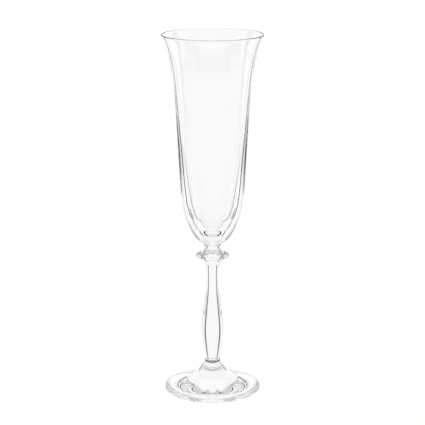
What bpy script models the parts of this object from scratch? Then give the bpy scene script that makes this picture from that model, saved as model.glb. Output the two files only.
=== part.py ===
"""Champagne flute: a blown trumpet bowl on a composite stem and a spread foot.

Each gather of glass is its own solid, turned about the Z axis, and each hot joint between two
gathers is a gap of JOINT_GAP. Units are metres. The glass stands on z = 0.
"""

from math import cos, pi, sin

import bpy
from mathutils import Vector
from mathutils.geometry import interpolate_bezier

# ---- Driving dimensions -------------------------------------------------------------------
HEIGHT = 0.2500
RIM_RADIUS = 0.0348
FOOT_RADIUS = 0.0334

# Heights of the joints between the gathers
NECK_TOP = 0.1047
DISC_TOP = 0.1020
DISC_BOTTOM = 0.0942
COLLAR_BOTTOM = 0.0904
STEM_BOTTOM = 0.0255
FOOT_MERESE_TOP = 0.0206
FOOT_TOP = 0.0156

JOINT_GAP = 0.0003
TURN_STEPS = 40
ARC_STEPS = 4

# Bowl, as (radius, height): the outside from under the rim to the heel, and the drawn-in cavity
BOWL_OUTSIDE = (
    (0.0312, 0.2400),
    (0.0280, 0.2270),
    (0.0257, 0.2070),
    (0.0241, 0.1800),
    (0.0225, 0.1520),
    (0.0209, 0.1340),
    (0.0184, 0.1230),
    (0.0125, 0.1103),
)
HEEL_RADIUS = 0.0061
BOWL_INSIDE = (
    (0.0000, 0.1134),
    (0.0046, 0.1134),
    (0.0056, 0.1140),
    (0.0080, 0.1176),
    (0.0106, 0.1214),
    (0.0130, 0.1260),
    (0.0148, 0.1320),
    (0.0159, 0.1380),
    (0.0168, 0.1440),
    (0.0180, 0.1530),
    (0.0198, 0.1660),
    (0.0216, 0.1800),
    (0.0229, 0.1920),
    (0.0243, 0.2070),
    (0.0268, 0.2270),
    (0.0301, 0.2400),
)
RIM_WALL = 0.0012

NECK_RADIUS = 0.0060
DISC_RADIUS = 0.0117
DISC_WAIST_RADIUS = 0.0056
COLLAR_RADIUS = 0.0064
COLLAR_LIP_RADIUS = 0.0052

STEM_HEAD_RADIUS = 0.0043
STEM_SLIM_RADIUS = 0.0040
STEM_SWELL_RADIUS = 0.0076
STEM_SWELL_HEIGHT = 0.0455
STEM_TAIL_RADIUS = 0.0053

STEM_RING_RADIUS = 0.0049
FOOT_MERESE_HEAD_RADIUS = 0.0052
FOOT_MERESE_RADIUS = 0.0084

# Foot
FOOT_EDGE = 0.0030
REST_INNER_RADIUS = 0.0282
REST_OUTER_RADIUS = 0.0328
HOLLOW_DEPTH = 0.0005

COLLECTION_NAME = "champagne_flute"
THIN_GLASS = (0.98, 0.985, 0.985)
THICK_GLASS = (0.96, 0.975, 0.97)


# ---- Outlines, as (radius, height) points ---------------------------------------------------
def smooth_curve(points, steps):
    """A chain of Bezier spans through the points. At each one it runs parallel to its neighbours' chord."""
    knots = [Vector(point) for point in points]
    last = len(knots) - 1
    slopes = [(knots[min(i + 1, last)] - knots[max(i - 1, 0)]).normalized() for i in range(last + 1)]
    curve = []
    for i in range(last):
        start, end = knots[i], knots[i + 1]
        reach = (end - start).length / 3
        span = interpolate_bezier(start, start + slopes[i] * reach, end - slopes[i + 1] * reach, end, steps + 1)
        curve += [(point.x, point.y) for point in span[:-1]]
    curve.append(tuple(points[-1]))
    return curve


def arc(centre, radius, start, end):
    """Points along a circular arc. Angles are in radians, measured from outwards towards up."""
    angles = [start + (end - start) * step / ARC_STEPS for step in range(ARC_STEPS + 1)]
    return [(centre[0] + radius * cos(angle), centre[1] + radius * sin(angle)) for angle in angles]


def bowl_profile():
    """The wall of the bowl: from its floor up the inside, over the lip, down the outside to the heel."""
    lip_radius = RIM_WALL / 2
    lip = arc((RIM_RADIUS - lip_radius, HEIGHT - lip_radius), lip_radius, pi, 0.0)
    heel_bottom = NECK_TOP + JOINT_GAP
    inside = smooth_curve([*BOWL_INSIDE, lip[0]], 2)
    outside = smooth_curve([lip[-1], *BOWL_OUTSIDE, (HEEL_RADIUS, heel_bottom)], 2)
    return inside + lip[1:-1] + outside + [(0.0, heel_bottom)]


def wafer_profile(bottom, top, radius, rounding):
    """A solid disc of glass with a rounded edge above and below."""
    upper = arc((radius - rounding, top - rounding), rounding, pi / 2, 0.0)
    lower = arc((radius - rounding, bottom + rounding), rounding, 0.0, -pi / 2)
    return [(0.0, top), *upper, *lower, (0.0, bottom)]


def disc_profile():
    """The disc knop: a short waist that spreads into a disc with a round edge."""
    edge = smooth_curve(
        [
            (DISC_WAIST_RADIUS, DISC_TOP),
            (DISC_WAIST_RADIUS + 0.0004, DISC_TOP - 0.0018),
            (DISC_RADIUS - 0.0026, DISC_TOP - 0.0030),
            (DISC_RADIUS, DISC_BOTTOM + 0.0024),
            (DISC_RADIUS - 0.0018, DISC_BOTTOM + 0.0008),
            (COLLAR_RADIUS, DISC_BOTTOM),
        ],
        3,
    )
    return [(0.0, DISC_TOP), *edge, (0.0, DISC_BOTTOM)]


def collar_profile():
    """The collar under the disc. It tapers a little and ends in a hard lower lip."""
    top = DISC_BOTTOM - JOINT_GAP
    bottom = COLLAR_BOTTOM
    side = [
        (COLLAR_RADIUS, top),
        (COLLAR_RADIUS, top - 0.0007),
        (COLLAR_RADIUS - 0.0004, bottom + 0.0010),
        (COLLAR_LIP_RADIUS + 0.0002, bottom + 0.0002),
        (COLLAR_LIP_RADIUS, bottom),
    ]
    return [(0.0, top), *side, (0.0, bottom)]


def stem_profile():
    """The baluster stem: slim above, with its swell in the lower half."""
    top = COLLAR_BOTTOM - JOINT_GAP
    side = smooth_curve(
        [
            (STEM_HEAD_RADIUS, top),
            (STEM_SLIM_RADIUS, top - 0.0081),
            (STEM_SLIM_RADIUS + 0.0005, STEM_SWELL_HEIGHT + 0.0265),
            (STEM_SWELL_RADIUS - 0.0014, STEM_SWELL_HEIGHT + 0.0135),
            (STEM_SWELL_RADIUS, STEM_SWELL_HEIGHT),
            (STEM_SWELL_RADIUS - 0.0007, STEM_SWELL_HEIGHT - 0.0100),
            (STEM_TAIL_RADIUS, STEM_BOTTOM),
        ],
        3,
    )
    return [(0.0, top), *side, (0.0, STEM_BOTTOM)]


def stem_ring_profile():
    """The ring at the foot of the stem, drawn in a little at its middle."""
    top = STEM_BOTTOM - JOINT_GAP
    bottom = FOOT_MERESE_TOP + JOINT_GAP
    side = smooth_curve(
        [
            (STEM_TAIL_RADIUS, top),
            (STEM_RING_RADIUS, (top + bottom) / 2),
            (FOOT_MERESE_HEAD_RADIUS, bottom),
        ],
        3,
    )
    return [(0.0, top), *side, (0.0, bottom)]


def foot_merese_profile():
    """The flared wafer between the stem ring and the foot."""
    bottom = FOOT_TOP + JOINT_GAP
    side = smooth_curve(
        [
            (FOOT_MERESE_HEAD_RADIUS, FOOT_MERESE_TOP),
            (FOOT_MERESE_HEAD_RADIUS + 0.0015, FOOT_MERESE_TOP - 0.0028),
            (FOOT_MERESE_RADIUS, bottom),
        ],
        3,
    )
    return [(0.0, FOOT_MERESE_TOP), *side, (0.0, bottom)]


def foot_profile():
    """The foot: its spread top, the rounded edge, the flat resting ring and the shallow hollow below."""
    rim_top = (FOOT_RADIUS - 0.0013, FOOT_EDGE)
    top_side = smooth_curve(
        [
            (FOOT_MERESE_RADIUS, FOOT_TOP),
            (0.0115, FOOT_TOP - 0.0036),
            (0.0175, FOOT_TOP - 0.0076),
            (0.0245, FOOT_EDGE + 0.0018),
            rim_top,
        ],
        3,
    )
    edge = smooth_curve(
        [
            rim_top,
            (FOOT_RADIUS - 0.0002, 0.7 * FOOT_EDGE),
            (FOOT_RADIUS, 0.25 * FOOT_EDGE),
            (REST_OUTER_RADIUS, 0.0),
        ],
        2,
    )
    hollow = smooth_curve(
        [
            (REST_INNER_RADIUS, 0.0),
            (REST_INNER_RADIUS - 0.0020, 0.7 * HOLLOW_DEPTH),
            (0.0200, HOLLOW_DEPTH),
            (0.0, HOLLOW_DEPTH),
        ],
        2,
    )
    return [(0.0, FOOT_TOP), *top_side, *edge[1:], *hollow]


# ---- Objects --------------------------------------------------------------------------------
def clear_scene():
    for obj in list(bpy.data.objects):
        bpy.data.objects.remove(obj)


def glass_material(name, colour):
    """Clear crystal. A thick gather is tinted slightly more than a thin one."""
    material = bpy.data.materials.new(name)
    material.use_nodes = True
    shader = material.node_tree.nodes["Principled BSDF"]
    shader.inputs["Base Color"].default_value = (*colour, 1.0)
    shader.inputs["Roughness"].default_value = 0.02
    shader.inputs["Metallic"].default_value = 0.0
    shader.inputs["IOR"].default_value = 1.52
    shader.inputs["Transmission Weight"].default_value = 1.0
    return material


def turned_piece(collection, name, profile, colour):
    """A solid of revolution: the profile as a chain of edges, turned about Z by a Screw modifier."""
    mesh = bpy.data.meshes.new(name)
    vertices = [(radius, 0.0, height) for radius, height in profile]
    edges = [(i, i + 1) for i in range(len(vertices) - 1)]
    mesh.from_pydata(vertices, edges, [])
    mesh.materials.append(glass_material(name + "_glass", colour))
    piece = bpy.data.objects.new(name, mesh)
    collection.objects.link(piece)
    turn = piece.modifiers.new("Turn", "SCREW")
    turn.axis = "Z"
    turn.angle = 2 * pi
    turn.steps = TURN_STEPS
    turn.render_steps = TURN_STEPS
    turn.use_merge_vertices = True
    turn.merge_threshold = 0.00001
    turn.use_smooth_shade = True


def build():
    clear_scene()
    collection = bpy.data.collections.new(COLLECTION_NAME)
    bpy.context.scene.collection.children.link(collection)
    neck = wafer_profile(DISC_TOP + JOINT_GAP, NECK_TOP, NECK_RADIUS, 0.0005)
    turned_piece(collection, "bowl", bowl_profile(), THIN_GLASS)
    turned_piece(collection, "neck_merese", neck, THICK_GLASS)
    turned_piece(collection, "disc_knop", disc_profile(), THICK_GLASS)
    turned_piece(collection, "knop_collar", collar_profile(), THICK_GLASS)
    turned_piece(collection, "baluster_stem", stem_profile(), THICK_GLASS)
    turned_piece(collection, "stem_ring", stem_ring_profile(), THICK_GLASS)
    turned_piece(collection, "foot_merese", foot_merese_profile(), THICK_GLASS)
    turned_piece(collection, "foot", foot_profile(), THIN_GLASS)


build()
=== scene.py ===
"""Champagne flute as it looks: clear glass in a white studio with dark flags. Units are metres."""

from math import cos, degrees, pi, radians, sin

import bmesh
import bpy
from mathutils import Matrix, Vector
from mathutils.geometry import interpolate_bezier


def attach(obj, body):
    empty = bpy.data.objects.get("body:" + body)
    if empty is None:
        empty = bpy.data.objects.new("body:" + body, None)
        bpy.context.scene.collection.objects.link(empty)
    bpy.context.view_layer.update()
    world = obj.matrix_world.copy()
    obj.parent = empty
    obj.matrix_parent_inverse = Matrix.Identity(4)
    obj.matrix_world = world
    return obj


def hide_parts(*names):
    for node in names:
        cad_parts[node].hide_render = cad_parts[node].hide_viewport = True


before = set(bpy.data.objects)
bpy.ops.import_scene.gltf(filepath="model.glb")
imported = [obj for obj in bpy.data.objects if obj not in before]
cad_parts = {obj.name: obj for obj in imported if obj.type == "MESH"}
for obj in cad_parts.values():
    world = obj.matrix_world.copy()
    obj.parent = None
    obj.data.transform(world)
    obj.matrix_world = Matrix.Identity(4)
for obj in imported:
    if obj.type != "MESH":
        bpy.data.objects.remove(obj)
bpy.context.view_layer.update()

# ---- Driving dimensions, the same as the CAD part's ------------------------------------------
HEIGHT = 0.2500
RIM_RADIUS = 0.0348
FOOT_RADIUS = 0.0334

# Heights where one gather of glass meets the next
NECK_JOINT = 0.10485
DISC_JOINT = 0.10215
COLLAR_JOINT = 0.09405
STEM_JOINT = 0.09025
RING_JOINT = 0.02535
MERESE_JOINT = 0.02075
FOOT_JOINT = 0.01575

# Bowl, as (radius, height): the outside from under the rim to the heel, and the drawn-in cavity
BOWL_OUTSIDE = (
    (0.0312, 0.2400),
    (0.0280, 0.2270),
    (0.0257, 0.2070),
    (0.0241, 0.1800),
    (0.0225, 0.1520),
    (0.0209, 0.1340),
    (0.0184, 0.1230),
    (0.0125, 0.1103),
)
HEEL_RADIUS = 0.0061
BOWL_INSIDE = (
    (0.0000, 0.1134),
    (0.0046, 0.1134),
    (0.0056, 0.1140),
    (0.0080, 0.1176),
    (0.0106, 0.1214),
    (0.0130, 0.1260),
    (0.0148, 0.1320),
    (0.0159, 0.1380),
    (0.0168, 0.1440),
    (0.0180, 0.1530),
    (0.0198, 0.1660),
    (0.0216, 0.1800),
    (0.0229, 0.1920),
    (0.0243, 0.2070),
    (0.0268, 0.2270),
    (0.0301, 0.2400),
)
RIM_WALL = 0.0012

NECK_RADIUS = 0.0060
NECK_ROUNDING = 0.0005
DISC_RADIUS = 0.0117
DISC_WAIST_RADIUS = 0.0056
COLLAR_RADIUS = 0.0064
COLLAR_LIP_RADIUS = 0.0052
STEM_HEAD_RADIUS = 0.0043
STEM_SLIM_RADIUS = 0.0040
STEM_SWELL_RADIUS = 0.0076
STEM_SWELL_HEIGHT = 0.0455
STEM_TAIL_RADIUS = 0.0053
STEM_RING_RADIUS = 0.0049
MERESE_HEAD_RADIUS = 0.0052
MERESE_RADIUS = 0.0084

FOOT_EDGE = 0.0030
REST_INNER_RADIUS = 0.0282
REST_OUTER_RADIUS = 0.0328
HOLLOW_DEPTH = 0.0005

# Fineness of the turned surfaces
TURN_STEPS = 192
CURVE_STEPS = 12
ARC_STEPS = 8
SHARP_ANGLE = radians(50)

# ---- Glass ------------------------------------------------------------------------------------
GLASS_IOR = 1.52
BOWL_TINTS = ((0.992, 0.993, 0.993), (0.987, 0.989, 0.989))
STEM_TINTS = ((0.966, 0.969, 0.968), (0.955, 0.960, 0.959))
FOOT_TINTS = ((0.981, 0.983, 0.983), (0.973, 0.976, 0.976))
STREAK_SCALE = 60.0
STREAK_DETAIL = 2.0
TINT_STOPS = (0.35, 0.65)

# ---- Studio and camera ------------------------------------------------------------------------
TENT_RADIUS = 6.0
TENT_SEGMENTS = 64
FLOOR_DROP = 0.0002
TENT_LIGHT = 1.02
STUDIO_LIGHT = 1.0

# Dark flags of the white studio, the same on the left and on the right. Each is its first and last
# azimuth, its lowest and highest elevation and the light that it leaves. Angles are in degrees.
# Azimuth 0 is behind the glass, 90 is at its side and 180 is behind the camera. A flag that starts
# below azimuth 0 crosses the middle, and one that runs past azimuth 180, or past elevation 90 or
# -90, has no edge there. They were tuned to the photograph's dark lines, seen from the camera below,
# partly by hand and partly by a fitting script.
DARK_FLAGS = (
    # Strips behind the glass: the lines of the stem, the wall of the bowl and the top of the foot
    (29, 38, -40, 4, 0.1),
    (42, 52, -38, -28, 0.3),
    (-5, 24, -42, -34, 0.6),
    # Strips at the side: the knop and the crescents in the foot
    (76, 84, -57, -8, 0.1),
    (66, 86, 15, 30, 0.1),
    (100, 130, 15, 25, 0.4),
    # The room towards the camera: the flat grey tone of the bowl and the dark sides of the knop
    (75, 190, -14, 8, 0.6),
    (130, 190, 5, 23, 0.25),
    # Above
    (14, 84, 38, 58, 0.6),
    (60, 190, 28, 95, 0.5),
    # Below
    (63, 95, -95, -47, 0.0),
    (92, 142, -95, -29, 0.65),
    (-5, 190, -95, -71, 0.3),
)
SOFTNESS_ACROSS = 2.0
SOFTNESS_ALONG = 3.0

LIGHT_BOUNCES = 32
REFLECTION_BOUNCES = 16

# Camera, fitted to the photograph's view
CAMERA_DISTANCE = 1.0354
CAMERA_HEIGHT = 0.3789
CAMERA_PITCH = radians(13.678)
LENS_MM = 131.0
SENSOR_MM = 36.0
NEAREST_VIEW = 0.01


# ---- Outlines, as (radius, height) points. The solid pieces go from the top down --------------
def smooth_curve(points):
    """Bezier spans through the points. At each point the curve runs parallel to its neighbours' chord."""
    knots = [Vector(point) for point in points]
    last = len(knots) - 1
    slopes = [(knots[min(i + 1, last)] - knots[max(i - 1, 0)]).normalized() for i in range(last + 1)]
    curve = []
    for i in range(last):
        start, end = knots[i], knots[i + 1]
        reach = (end - start).length / 3
        leaving = start + slopes[i] * reach
        arriving = end - slopes[i + 1] * reach
        span = interpolate_bezier(start, leaving, arriving, end, CURVE_STEPS + 1)
        curve += [(point.x, point.y) for point in span[:-1]]
    curve.append(tuple(points[-1]))
    return curve


def arc(centre, radius, start, end):
    """Points along a circular arc. Angles are in radians, measured from outwards towards up."""
    angles = [start + (end - start) * step / ARC_STEPS for step in range(ARC_STEPS + 1)]
    return [(centre[0] + radius * cos(angle), centre[1] + radius * sin(angle)) for angle in angles]


def bowl_profile():
    """From the cavity's floor up the inside, over the lip and down the outside to the heel."""
    lip_radius = RIM_WALL / 2
    lip = arc((RIM_RADIUS - lip_radius, HEIGHT - lip_radius), lip_radius, pi, 0.0)
    inside = smooth_curve([*BOWL_INSIDE, lip[0]])
    outside = smooth_curve([lip[-1], *BOWL_OUTSIDE, (HEEL_RADIUS, NECK_JOINT)])
    return inside + lip[1:-1] + outside


def wafer_profile(top, bottom, radius, rounding):
    """A disc of glass with a rounded edge above and below."""
    upper = arc((radius - rounding, top - rounding), rounding, pi / 2, 0.0)
    lower = arc((radius - rounding, bottom + rounding), rounding, 0.0, -pi / 2)
    return upper + lower


def disc_profile():
    """The disc knop: a short waist that spreads into a disc with a round edge."""
    return smooth_curve(
        [
            (DISC_WAIST_RADIUS, DISC_JOINT),
            (DISC_WAIST_RADIUS + 0.0004, DISC_JOINT - 0.0020),
            (DISC_RADIUS - 0.0026, DISC_JOINT - 0.0032),
            (DISC_RADIUS, COLLAR_JOINT + 0.0025),
            (DISC_RADIUS - 0.0018, COLLAR_JOINT + 0.0010),
            (COLLAR_RADIUS, COLLAR_JOINT),
        ]
    )


def collar_profile():
    """The collar under the disc. It tapers a little and ends in a hard lower lip."""
    return [
        (COLLAR_RADIUS, COLLAR_JOINT),
        (COLLAR_RADIUS, COLLAR_JOINT - 0.0009),
        (COLLAR_RADIUS - 0.0004, STEM_JOINT + 0.0012),
        (COLLAR_LIP_RADIUS + 0.0002, STEM_JOINT + 0.0004),
        (COLLAR_LIP_RADIUS, STEM_JOINT),
    ]


def stem_profile():
    """The baluster stem: slim above, with its swell in the lower half."""
    return smooth_curve(
        [
            (STEM_HEAD_RADIUS, STEM_JOINT),
            (STEM_SLIM_RADIUS, STEM_JOINT - 0.0083),
            (STEM_SLIM_RADIUS + 0.0005, STEM_SWELL_HEIGHT + 0.0265),
            (STEM_SWELL_RADIUS - 0.0014, STEM_SWELL_HEIGHT + 0.0135),
            (STEM_SWELL_RADIUS, STEM_SWELL_HEIGHT),
            (STEM_SWELL_RADIUS - 0.0007, STEM_SWELL_HEIGHT - 0.0100),
            (STEM_TAIL_RADIUS, RING_JOINT),
        ]
    )


def stem_ring_profile():
    """The ring at the foot of the stem, drawn in a little at its middle."""
    return smooth_curve(
        [
            (STEM_TAIL_RADIUS, RING_JOINT),
            (STEM_RING_RADIUS, (RING_JOINT + MERESE_JOINT) / 2),
            (MERESE_HEAD_RADIUS, MERESE_JOINT),
        ]
    )


def foot_merese_profile():
    """The flared wafer between the stem ring and the foot."""
    return smooth_curve(
        [
            (MERESE_HEAD_RADIUS, MERESE_JOINT),
            (MERESE_HEAD_RADIUS + 0.0015, MERESE_JOINT - 0.0029),
            (MERESE_RADIUS, FOOT_JOINT),
        ]
    )


def foot_profile():
    """The foot: its spread top, the rounded edge, the flat resting ring and the shallow hollow below."""
    rim_top = (FOOT_RADIUS - 0.0013, FOOT_EDGE)
    top_side = smooth_curve(
        [
            (MERESE_RADIUS, FOOT_JOINT),
            (0.0115, FOOT_JOINT - 0.0038),
            (0.0175, FOOT_JOINT - 0.0077),
            (0.0245, FOOT_EDGE + 0.0018),
            rim_top,
        ]
    )
    edge = smooth_curve(
        [
            rim_top,
            (FOOT_RADIUS - 0.0002, 0.7 * FOOT_EDGE),
            (FOOT_RADIUS, 0.25 * FOOT_EDGE),
            (REST_OUTER_RADIUS, 0.0),
        ]
    )
    hollow = smooth_curve(
        [
            (REST_INNER_RADIUS, 0.0),
            (REST_INNER_RADIUS - 0.0020, 0.7 * HOLLOW_DEPTH),
            (0.0200, HOLLOW_DEPTH),
            (0.0, HOLLOW_DEPTH),
        ]
    )
    return top_side + edge[1:] + hollow


# ---- Materials --------------------------------------------------------------------------------
def new_material(name):
    """A new material, with its nodes and their links."""
    material = bpy.data.materials.new(name)
    material.use_nodes = True
    return material, material.node_tree.nodes, material.node_tree.links


def glass_material(name, tints):
    """Clear crystal, faintly uneven as hand-worked glass is: its tint drifts between two tints."""
    material, nodes, links = new_material(name)
    shader = nodes["Principled BSDF"]
    shader.inputs["IOR"].default_value = GLASS_IOR
    shader.inputs["Transmission Weight"].default_value = 1.0
    shader.inputs["Roughness"].default_value = 0.0
    place = nodes.new("ShaderNodeTexCoord")
    streaks = nodes.new("ShaderNodeTexNoise")
    streaks.inputs["Scale"].default_value = STREAK_SCALE
    streaks.inputs["Detail"].default_value = STREAK_DETAIL
    tint = nodes.new("ShaderNodeValToRGB")
    for stop, position, colour in zip(tint.color_ramp.elements, TINT_STOPS, tints):
        stop.position = position
        stop.color = (*colour, 1.0)
    links.new(place.outputs["Object"], streaks.inputs["Vector"])
    links.new(streaks.outputs["Fac"], tint.inputs["Fac"])
    links.new(tint.outputs["Color"], shader.inputs["Base Color"])
    return material


def joint_material():
    """Inside a hot joint the glass runs through, so nothing is seen of the surface there."""
    material, nodes, links = new_material("fused_joint")
    nodes.clear()
    output = nodes.new("ShaderNodeOutputMaterial")
    clear = nodes.new("ShaderNodeBsdfTransparent")
    links.new(clear.outputs["BSDF"], output.inputs["Surface"])
    return material


# ---- Pieces -----------------------------------------------------------------------------------
def turned_mesh(name, profile, materials):
    """The profile turned about Z. An end off the axis is closed by a face of the second material."""
    mesh = bpy.data.meshes.new(name)
    shape = bmesh.new()
    angles = [2 * pi * step / TURN_STEPS for step in range(TURN_STEPS)]
    rings = []
    for radius, height in profile:
        if radius > 0.0:
            rings.append([shape.verts.new((radius * cos(a), radius * sin(a), height)) for a in angles])
        else:
            rings.append([shape.verts.new((0.0, 0.0, height))])
    for upper, lower in zip(rings, rings[1:]):
        for step in range(TURN_STEPS):
            after = (step + 1) % TURN_STEPS
            if len(upper) == 1:
                corners = (upper[0], lower[step], lower[after])
            elif len(lower) == 1:
                corners = (upper[step], lower[0], upper[after])
            else:
                corners = (upper[step], lower[step], lower[after], upper[after])
            shape.faces.new(corners).smooth = True
    for ring in (rings[0], rings[-1]):
        if len(ring) > 1:
            shape.faces.new(ring).material_index = 1
    bmesh.ops.recalc_face_normals(shape, faces=shape.faces)
    shape.to_mesh(mesh)
    shape.free()
    for material in materials:
        mesh.materials.append(material)
    mesh.set_sharp_from_angle(angle=SHARP_ANGLE)
    return mesh


def glass_piece(node, profile, glass, joint):
    """A finely turned gather of glass in place of its CAD node."""
    mesh = turned_mesh(node + "_glass", profile, (glass, joint))
    piece = bpy.data.objects.new(mesh.name, mesh)
    bpy.context.scene.collection.objects.link(piece)
    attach(piece, "root")
    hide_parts(node)


def make_flute():
    """The eight gathers of glass: the bowl, the six small ones of the stem, and the foot."""
    joint = joint_material()
    bowl_glass = glass_material("bowl_crystal", BOWL_TINTS)
    stem_glass = glass_material("stem_crystal", STEM_TINTS)
    foot_glass = glass_material("foot_crystal", FOOT_TINTS)
    glass_piece("bowl", bowl_profile(), bowl_glass, joint)
    for node, profile in (
        ("neck_merese", wafer_profile(NECK_JOINT, DISC_JOINT, NECK_RADIUS, NECK_ROUNDING)),
        ("disc_knop", disc_profile()),
        ("knop_collar", collar_profile()),
        ("baluster_stem", stem_profile()),
        ("stem_ring", stem_ring_profile()),
        ("foot_merese", foot_merese_profile()),
    ):
        glass_piece(node, profile, stem_glass, joint)
    glass_piece("foot", foot_profile(), foot_glass, joint)


# ---- Tent, light and camera -------------------------------------------------------------------
def make_tent():
    """A white floor and dome around the glass. The glass itself sees the studio light, not the tent."""
    material, nodes, links = new_material("white_tent")
    nodes.clear()
    output = nodes.new("ShaderNodeOutputMaterial")
    paper = nodes.new("ShaderNodeEmission")
    paper.inputs["Strength"].default_value = TENT_LIGHT
    links.new(paper.outputs["Emission"], output.inputs["Surface"])
    shape = bmesh.new()
    bmesh.ops.create_uvsphere(
        shape,
        u_segments=TENT_SEGMENTS,
        v_segments=TENT_SEGMENTS // 2,
        radius=TENT_RADIUS,
    )
    bmesh.ops.bisect_plane(
        shape,
        geom=[*shape.verts, *shape.edges, *shape.faces],
        plane_co=(0.0, 0.0, 0.0),
        plane_no=(0.0, 0.0, 1.0),
        clear_inner=True,
    )
    dome_mesh = bpy.data.meshes.new("tent_dome")
    shape.to_mesh(dome_mesh)
    shape.clear()
    bmesh.ops.create_circle(shape, cap_ends=True, segments=TENT_SEGMENTS, radius=TENT_RADIUS)
    floor_mesh = bpy.data.meshes.new("tent_floor")
    shape.to_mesh(floor_mesh)
    shape.free()
    for mesh in (dome_mesh, floor_mesh):
        mesh.materials.append(material)
        surface = bpy.data.objects.new(mesh.name, mesh)
        surface.location.z = -FLOOR_DROP
        surface.visible_transmission = False
        surface.visible_glossy = False
        bpy.context.scene.collection.objects.link(surface)


def make_studio_light():
    """The light all round: white, with soft-edged dark flags that draw the outlines of the glass."""
    world = bpy.data.worlds.new("studio_light")
    bpy.context.scene.world = world
    world.use_nodes = True
    nodes, links = world.node_tree.nodes, world.node_tree.links
    background = nodes["Background"]
    background.inputs["Color"].default_value = (1.0, 1.0, 1.0, 1.0)

    def calculate(operation, *values):
        """A Math node. Each value is a number or another node's output."""
        node = nodes.new("ShaderNodeMath")
        node.operation = operation
        for socket, value in zip(node.inputs, values):
            if isinstance(value, (int, float)):
                socket.default_value = value
            else:
                links.new(value, socket)
        return node.outputs[0]

    def soft_step(value, edge, softness, start, end):
        """Goes smoothly from start to end as the value crosses the edge."""
        node = nodes.new("ShaderNodeMapRange")
        node.interpolation_type = "SMOOTHSTEP"
        links.new(value, node.inputs["Value"])
        node.inputs["From Min"].default_value = edge - softness
        node.inputs["From Max"].default_value = edge + softness
        node.inputs["To Min"].default_value = start
        node.inputs["To Max"].default_value = end
        return node.outputs["Result"]

    def flag_window(value, low, high, softness):
        """1 between low and high, and 0 outside them."""
        opening = soft_step(value, low, softness, 0.0, 1.0)
        closing = soft_step(value, high, softness, 1.0, 0.0)
        return calculate("MULTIPLY", opening, closing)

    direction = nodes.new("ShaderNodeTexCoord")
    parts = nodes.new("ShaderNodeSeparateXYZ")
    links.new(direction.outputs["Generated"], parts.inputs["Vector"])
    turn = calculate("ARCTAN2", parts.outputs["X"], parts.outputs["Y"])
    azimuth = calculate("ABSOLUTE", calculate("MULTIPLY", turn, degrees(1.0)))
    elevation = calculate("MULTIPLY", calculate("ARCSINE", parts.outputs["Z"]), degrees(1.0))
    light = STUDIO_LIGHT
    for first, last, low, high, left_over in DARK_FLAGS:
        across = flag_window(azimuth, first, last, SOFTNESS_ACROSS)
        along = flag_window(elevation, low, high, SOFTNESS_ALONG)
        cover = calculate("MULTIPLY", across, along)
        passed = calculate("SUBTRACT", 1.0, calculate("MULTIPLY", cover, 1.0 - left_over))
        light = calculate("MULTIPLY", passed, light)
    links.new(light, background.inputs["Strength"])


def make_camera():
    """The photograph's view: from the front, a little above the glass."""
    data = bpy.data.cameras.new("camera")
    data.lens = LENS_MM
    data.sensor_width = SENSOR_MM
    data.clip_start = NEAREST_VIEW
    camera = bpy.data.objects.new("camera", data)
    camera.location = (0.0, -CAMERA_DISTANCE, CAMERA_HEIGHT)
    camera.rotation_euler = (pi / 2 - CAMERA_PITCH, 0.0, 0.0)
    bpy.context.scene.collection.objects.link(camera)
    bpy.context.scene.camera = camera


def set_look():
    """Plain tones, and enough bounces for light to cross every wall of the glass."""
    scene = bpy.context.scene
    scene.view_settings.view_transform = "Standard"
    scene.cycles.max_bounces = LIGHT_BOUNCES
    scene.cycles.transmission_bounces = LIGHT_BOUNCES
    scene.cycles.glossy_bounces = REFLECTION_BOUNCES
    scene.cycles.transparent_max_bounces = LIGHT_BOUNCES
    scene.cycles.caustics_refractive = True
    scene.cycles.caustics_reflective = True


make_camera()
make_flute()
make_tent()
make_studio_light()
set_look()
